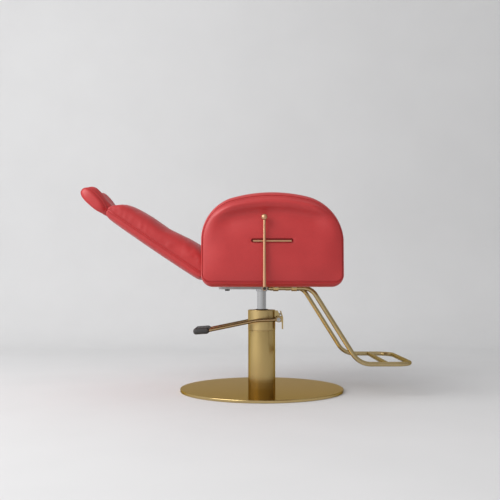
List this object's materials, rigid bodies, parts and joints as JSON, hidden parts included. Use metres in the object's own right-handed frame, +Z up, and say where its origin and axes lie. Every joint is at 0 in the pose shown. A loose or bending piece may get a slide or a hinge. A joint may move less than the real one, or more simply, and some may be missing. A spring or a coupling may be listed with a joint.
{
  "type": "threading chair",
  "caption": "Reclining threading chair: red padded seat, arms, backrest and sliding headrest on a gold foot-pumped swivel column with a round base and a looped footrest.",
  "frame": {"origin": "centre of the round base on the floor, on the swivel axis", "axes": "+X towards the footrest, +Y to the sitter's left, +Z up; the recline lever is on the -Y side"},
  "size_m": [1.1729, 0.699, 0.7386],
  "materials": {
    "gold_polished": "polished gold plating",
    "gold_brushed": "brushed gold plating",
    "steel_dark": "black oxide",
    "steel_grey": "grey powder coat",
    "chrome": "hard chrome",
    "zinc": "zinc plated",
    "cast": "plain",
    "rubber": "matt",
    "plastic_black": "matt",
    "plastic_red": "matt",
    "plywood": "sanded",
    "red_leather": "grained, satin"
  },
  "bodies": {
    "base": {"base_cover": "gold_polished", "base_weight": "cast", "floor_pad": "rubber", "column_sleeve": "gold_brushed", "foot_bolts": "zinc", "pump_cylinder": "zinc", "pump_head": "gold_brushed", "wiper_ring": "rubber", "pump_block": "gold_polished"},
    "ram": {"ram_rod": "chrome", "ram_piston": "zinc", "ram_seal": "rubber", "ram_rings": "zinc"},
    "seat": {"swivel_collar": "chrome", "mounting_pan": "steel_grey", "mounting_bolts": "steel_dark", "seat_frame": "plywood", "seat_board": "plywood", "front_apron": "red_leather", "seat_cushion": "red_leather", "arm_cores": "plywood", "arm_band_left": "red_leather", "arm_band_right": "red_leather", "arm_outer_pad_left": "red_leather", "arm_outer_pad_right": "red_leather", "arm_inner_pads": "red_leather", "arm_bolts": "zinc", "guide_liner": "plastic_red", "guide_bar": "gold_polished", "lever_bearings": "steel_grey", "gas_rod": "chrome", "release_head": "zinc", "hinge_brackets": "steel_dark", "hinge_pins": "zinc", "frame_screws": "zinc", "footrest_tube": "gold_brushed", "footrest_bar": "gold_brushed", "footrest_caps": "plastic_black", "footrest_clamps": "gold_brushed"},
    "backrest": {"back_board": "plywood", "back_cushion": "red_leather", "back_shell": "red_leather", "hinge_plates": "steel_dark", "gas_crank": "steel_dark", "post_sleeves": "plastic_black"},
    "headrest": {"headrest_pad": "red_leather", "headrest_board": "plywood", "headrest_posts": "chrome"},
    "recline_lever": {"lever_shaft": "zinc", "lever_rod": "gold_polished", "lever_ball": "gold_polished", "lever_bolt": "steel_dark"},
    "valve": {"valve_pin": "chrome"},
    "gas_tube": {"gas_tube": "steel_dark"},
    "pedal": {"rocker_plate": "gold_brushed", "pedal_shaft": "zinc", "pedal_nuts": "zinc", "pedal_yoke": "gold_polished", "pedal_tread": "rubber"},
    "plunger": {"pump_plunger": "chrome"}
  },
  "joints": [
    {"name": "lift", "type": "slide", "parent": "base", "child": "ram", "axis": [0, 0, 1], "range_m": [0, 0.15]},
    {"name": "swivel", "type": "hinge", "parent": "ram", "child": "seat", "pos_m": [0, 0, 0.37], "axis": [0, 0, 1], "continuous": true},
    {"name": "recline", "type": "hinge", "parent": "seat", "child": "backrest", "pos_m": [-0.19, 0, 0.438], "axis": [0, 1, 0], "range_deg": [0, 47]},
    {"name": "headrest_slide", "type": "slide", "parent": "backrest", "child": "headrest", "axis": [-0.829, 0, 0.5592], "range_m": [0, 0.08]},
    {"name": "recline_lever_turn", "type": "hinge", "parent": "seat", "child": "recline_lever", "pos_m": [0.0025, -0.3475, 0.376], "axis": [0, 1, 0], "range_deg": [0, 26], "stiffness_Nm_per_rad": 2},
    {"name": "valve_push", "type": "slide", "parent": "seat", "child": "valve", "axis": [1, 0, 0], "range_m": [0, 0.0134]},
    {"name": "gas_tube_slide", "type": "slide", "parent": "seat", "child": "gas_tube", "axis": [-1, 0, 0], "range_m": [0, 0.028]},
    {"name": "pedal_turn", "type": "hinge", "parent": "base", "child": "pedal", "pos_m": [0.06, 0, 0.263], "axis": [0, 1, 0], "range_deg": [-14, 9], "stiffness_Nm_per_rad": 60},
    {"name": "plunger_push", "type": "slide", "parent": "base", "child": "plunger", "axis": [1, 0, 0], "range_m": [-0.0036, 0.0024]}
  ],
  "couplings": [
    {"joint": "valve_push", "follows": "recline_lever_turn", "m_per_rad": 0.0293},
    {"joint": "gas_tube_slide", "follows": "recline", "m_per_rad": 0.03403},
    {"joint": "plunger_push", "follows": "pedal_turn", "m_per_rad": 0.0143}
  ]
}
